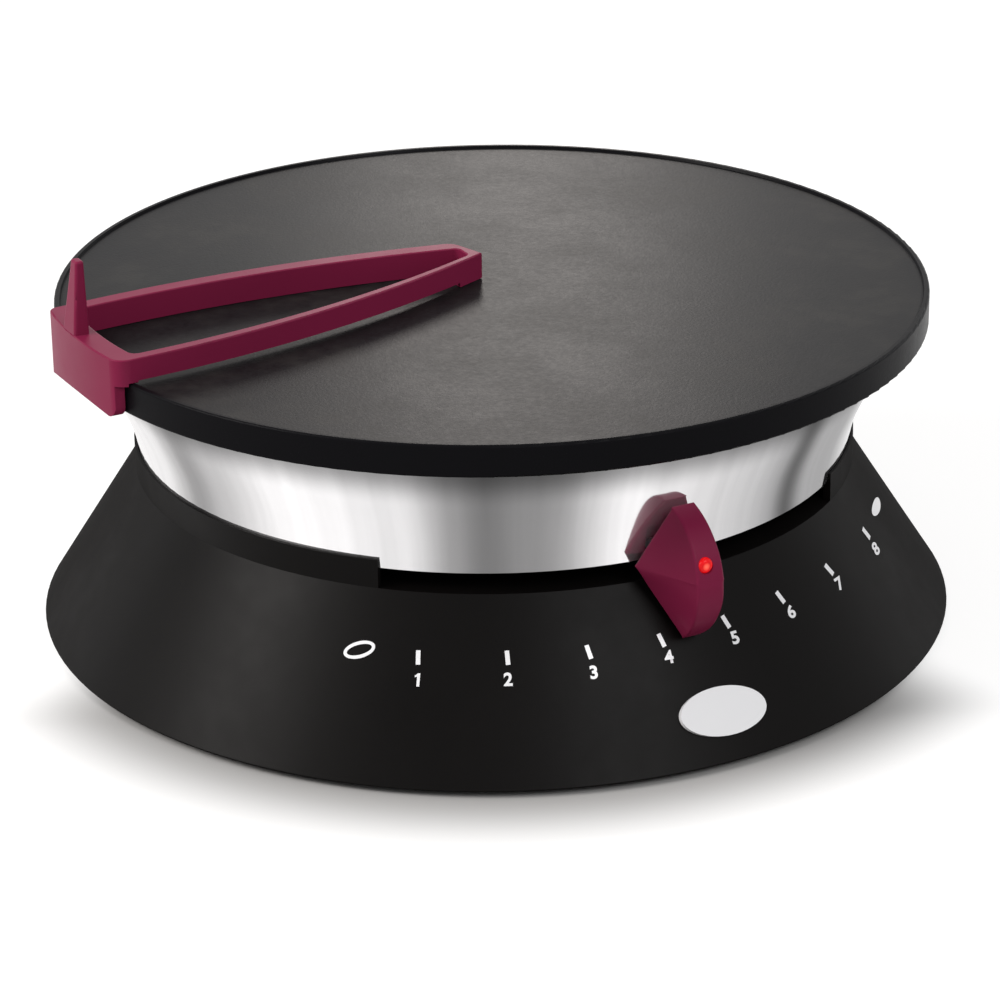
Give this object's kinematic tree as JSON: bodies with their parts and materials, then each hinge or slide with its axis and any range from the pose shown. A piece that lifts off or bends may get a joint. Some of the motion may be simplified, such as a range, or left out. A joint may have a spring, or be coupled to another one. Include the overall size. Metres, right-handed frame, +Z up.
{
  "type": "electric crepe maker",
  "caption": "Round electric crepe maker: cast griddle plate on a flared steel band, moulded cone base, sliding thermostat knob and a batter spreader hooked over the rim",
  "frame": {"origin": "on the table under the middle of the base, below the axis of the plate", "axes": "+Z up, the front of the appliance looks along -Y, the cord inlet is at +Y, +X is to the right seen from the front"},
  "size_m": [0.3716, 0.3716, 0.1771],
  "materials": {
    "shell_grey": "satin moulded dark grey plastic",
    "cover_plastic": "fine-grained black plastic",
    "foot_rubber": "soft black rubber",
    "zinc_steel": "zinc-plated steel",
    "black_nylon": "black nylon",
    "badge_white": "glossy white, left plain",
    "satin_steel": "satin steel, brushed round the axis",
    "nonstick_grey": "dark grey non-stick coat on cast aluminium",
    "heater_sheath": "oxidised steel sheath",
    "ceramic": "unglazed white ceramic",
    "bright_sheet": "bright aluminised sheet",
    "mineral_wool": "pressed mineral wool",
    "copper_tube": "drawn copper",
    "wire_brown": "brown silicone",
    "wire_blue": "blue silicone",
    "wire_green": "green and yellow silicone",
    "wire_white": "white glass-braided silicone",
    "raspberry": "raspberry plastic with a soft gloss",
    "lens_red": "clear red lens",
    "lamp_clear": "clear red lamp body"
  },
  "bodies": {
    "base": {"base_cone": "shell_grey", "bottom_cover": "cover_plastic", "rubber_feet": "foot_rubber", "cover_screws": "zinc_steel", "cord_gland": "black_nylon", "gland_nut": "black_nylon", "badge_plate": "badge_white", "chassis_plate": "zinc_steel", "chassis_screws": "zinc_steel", "wire_grommet": "black_nylon", "steel_band": "satin_steel", "griddle_plate": "nonstick_grey", "heating_element": "heater_sheath", "element_pins": "heater_sheath", "element_bushes": "ceramic", "element_clamps": "zinc_steel", "clamp_screws": "zinc_steel", "heat_reflector": "bright_sheet", "insulation_pad": "mineral_wool", "plate_spacers": "ceramic", "tie_studs": "zinc_steel", "upper_sleeves": "zinc_steel", "lower_sleeves": "zinc_steel", "stud_washers": "zinc_steel", "stud_nuts": "zinc_steel", "thermostat_body": "black_nylon", "thermostat_screws": "zinc_steel", "sensor_bulb": "copper_tube", "bulb_clip": "zinc_steel", "capillary_tube": "copper_tube", "terminal_block": "black_nylon", "terminal_screws": "zinc_steel", "earth_screw": "zinc_steel", "wire_live": "wire_brown", "wire_neutral": "wire_blue", "wire_earth": "wire_green", "wire_link": "wire_brown", "heater_lead_a": "wire_white", "heater_lead_b": "wire_white"},
    "selector": {"thermostat_spindle": "zinc_steel", "lever_arm": "zinc_steel", "hub_screw": "zinc_steel", "knob_shell": "raspberry", "knob_back": "raspberry", "knob_screws": "zinc_steel", "led_lens": "lens_red", "led_lamp": "lamp_clear", "led_leads": "wire_blue"},
    "spreader": {"spreader_frame": "raspberry"}
  },
  "joints": [
    {"name": "selector_turn", "type": "hinge", "parent": "base", "child": "selector", "pos_m": [0, 0, 0.07], "axis": [0, 0, 1], "range_deg": [-43.2, 36.2]},
    {"name": "spreader_orbit", "type": "hinge", "parent": "base", "child": "spreader", "pos_m": [0, 0, 0.1375], "axis": [0, 0, 1], "continuous": true}
  ]
}
